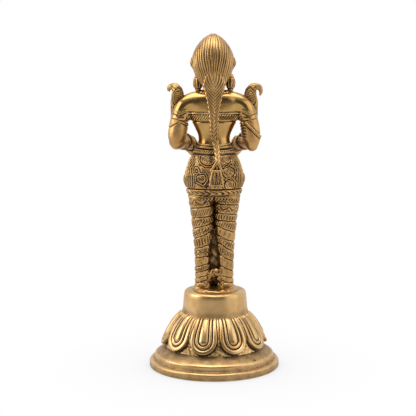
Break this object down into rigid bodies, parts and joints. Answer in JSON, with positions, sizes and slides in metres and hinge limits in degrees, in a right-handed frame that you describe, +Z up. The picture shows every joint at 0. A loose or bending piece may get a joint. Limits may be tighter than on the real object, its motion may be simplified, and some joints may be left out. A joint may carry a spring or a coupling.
{
  "type": "figural oil lamp",
  "caption": "Cast brass lamp: a standing figure with a long plait holds a spouted oil bowl in both hands, with a bird at each shoulder, on a round lotus pedestal with a moulded foot.",
  "frame": {"origin": "centre of the pedestal's flat foot, on the surface that the lamp stands on", "axes": "+Z up the figure, -Y the way the figure faces and the bowl's spout points, +X to the figure's left"},
  "size_m": [0.08, 0.08, 0.203],
  "materials": {
    "pedestal_brass": "polished with dark patina in the recesses",
    "figure_brass": "polished with dark patina in the recesses",
    "forearm_brass": "satin, as cast",
    "bowl_brass": "polished",
    "bird_brass": "polished with dark patina in the recesses",
    "pin_brass": "plain",
    "fastener_steel": "plain"
  },
  "bodies": {
    "root": {"pedestal": "pedestal_brass", "figure": "figure_brass", "left_forearm": "forearm_brass", "right_forearm": "forearm_brass", "lamp_bowl": "bowl_brass", "left_bird": "bird_brass", "right_bird": "bird_brass", "elbow_dowels": "pin_brass", "bird_pins": "pin_brass", "figure_stud": "fastener_steel", "stud_washer": "fastener_steel", "stud_nut": "fastener_steel"}
  },
  "joints": []
}
